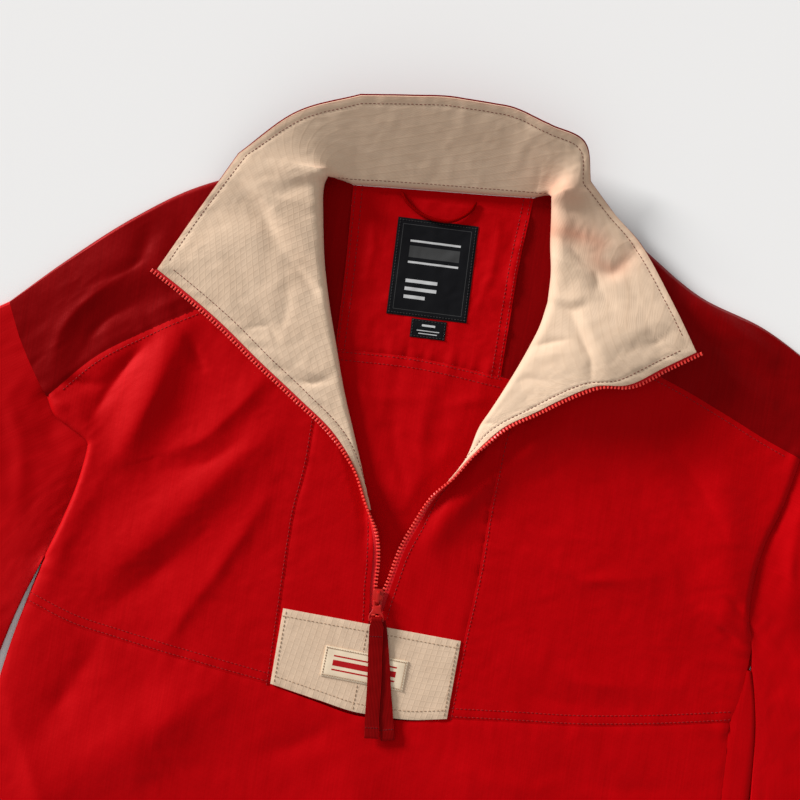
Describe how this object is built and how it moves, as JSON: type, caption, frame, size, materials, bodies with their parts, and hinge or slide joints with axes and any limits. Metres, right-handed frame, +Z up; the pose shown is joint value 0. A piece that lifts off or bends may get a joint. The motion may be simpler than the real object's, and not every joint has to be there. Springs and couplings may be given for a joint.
{
  "type": "half-zip anorak pullover",
  "caption": "Light woven half-zip pullover laid flat on its back, with the stand collar and both fronts turned open above the zip slider.",
  "frame": {"origin": "on the underside of the back, straight below the zip slider", "axes": "+X to the viewer's right across the garment, +Y up the garment towards the collar, +Z up from the surface that it lies on"},
  "size_m": [1.0109, 0.7798, 0.038],
  "materials": {
    "shell_cloth": "soft sheen, plain woven",
    "yoke_cloth": "soft sheen, plain woven",
    "lining_cloth": "matt, small woven grid",
    "zip_tape": "woven tape with satin moulded teeth",
    "zip_metal": "satin paint",
    "ribbon": "ribbed woven ribbon",
    "loop_cord": "twisted cord",
    "label_dark": "satin woven label",
    "label_pale": "matt woven label"
  },
  "bodies": {
    "garment": {"back_center": "shell_cloth", "back_lower": "shell_cloth", "chest_left": "shell_cloth", "chest_right": "shell_cloth", "collar_lining_and_facing": "lining_cloth", "collar_outer": "yoke_cloth", "front_center_left": "shell_cloth", "front_center_right": "shell_cloth", "front_lower": "shell_cloth", "front_patch": "lining_cloth", "hang_loop": "loop_cord", "neck_label": "label_dark", "patch_label": "label_pale", "size_label": "label_dark", "sleeve_left": "shell_cloth", "sleeve_right": "shell_cloth", "yoke_left": "yoke_cloth", "yoke_right": "yoke_cloth", "zip_slider": "zip_metal", "zip_tape_left": "zip_tape", "zip_tape_right": "zip_tape"},
    "pull": {"zip_puller": "zip_metal", "pull_ribbon_front": "ribbon", "pull_ribbon_back": "ribbon"}
  },
  "joints": [
    {"name": "pull_swing", "type": "hinge", "parent": "garment", "child": "pull", "pos_m": [-0.00021, -0.00004, 0.0082], "axis": [-0.9976, -0.0698, 0], "range_deg": [0, 100]}
  ]
}
